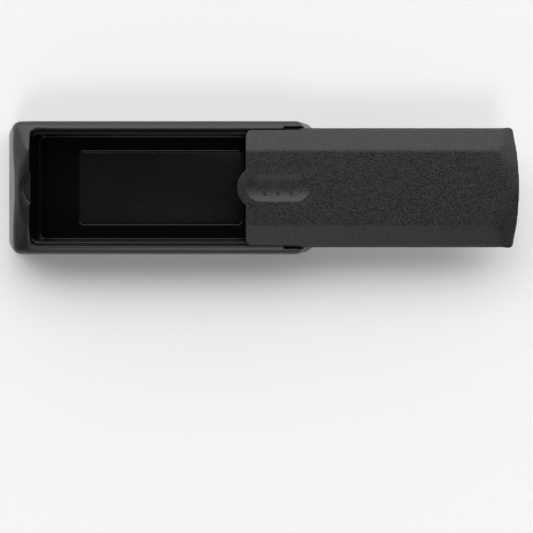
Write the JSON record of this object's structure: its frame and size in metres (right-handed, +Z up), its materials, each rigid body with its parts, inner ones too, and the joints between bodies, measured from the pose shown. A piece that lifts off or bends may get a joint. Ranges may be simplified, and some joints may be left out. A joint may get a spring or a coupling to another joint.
{
  "type": "magnetic key box",
  "caption": "Flat double-walled plastic box with a sliding lid that hides keys inside and clings to steel by magnets under its floor.",
  "frame": {"origin": "middle of the foot: the flat face of the tray and magnets that clings to steel or stands on a table", "axes": "+Z up from the foot to the lid's flat top, +X the way the lid slides out, Y across the box"},
  "size_m": [0.2376, 0.0628, 0.03],
  "materials": {
    "tray_plastic": "black moulded plastic, satin rims",
    "lid_plastic": "black moulded plastic with a fine grained texture",
    "plate_plastic": "smooth black film, bare",
    "keeper_steel": "zinc plated sheet steel",
    "ferrite": "ground grey-black ceramic magnet"
  },
  "bodies": {
    "tray": {"tray": "tray_plastic", "keeper_left": "keeper_steel", "keeper_right": "keeper_steel", "magnet_left": "ferrite", "magnet_right": "ferrite", "floor_plate": "plate_plastic"},
    "lid": {"lid": "lid_plastic"}
  },
  "joints": [
    {"name": "lid_slide", "type": "slide", "parent": "tray", "child": "lid", "axis": [1, 0, 0], "range_m": [-0.0975, 0.0075]}
  ]
}
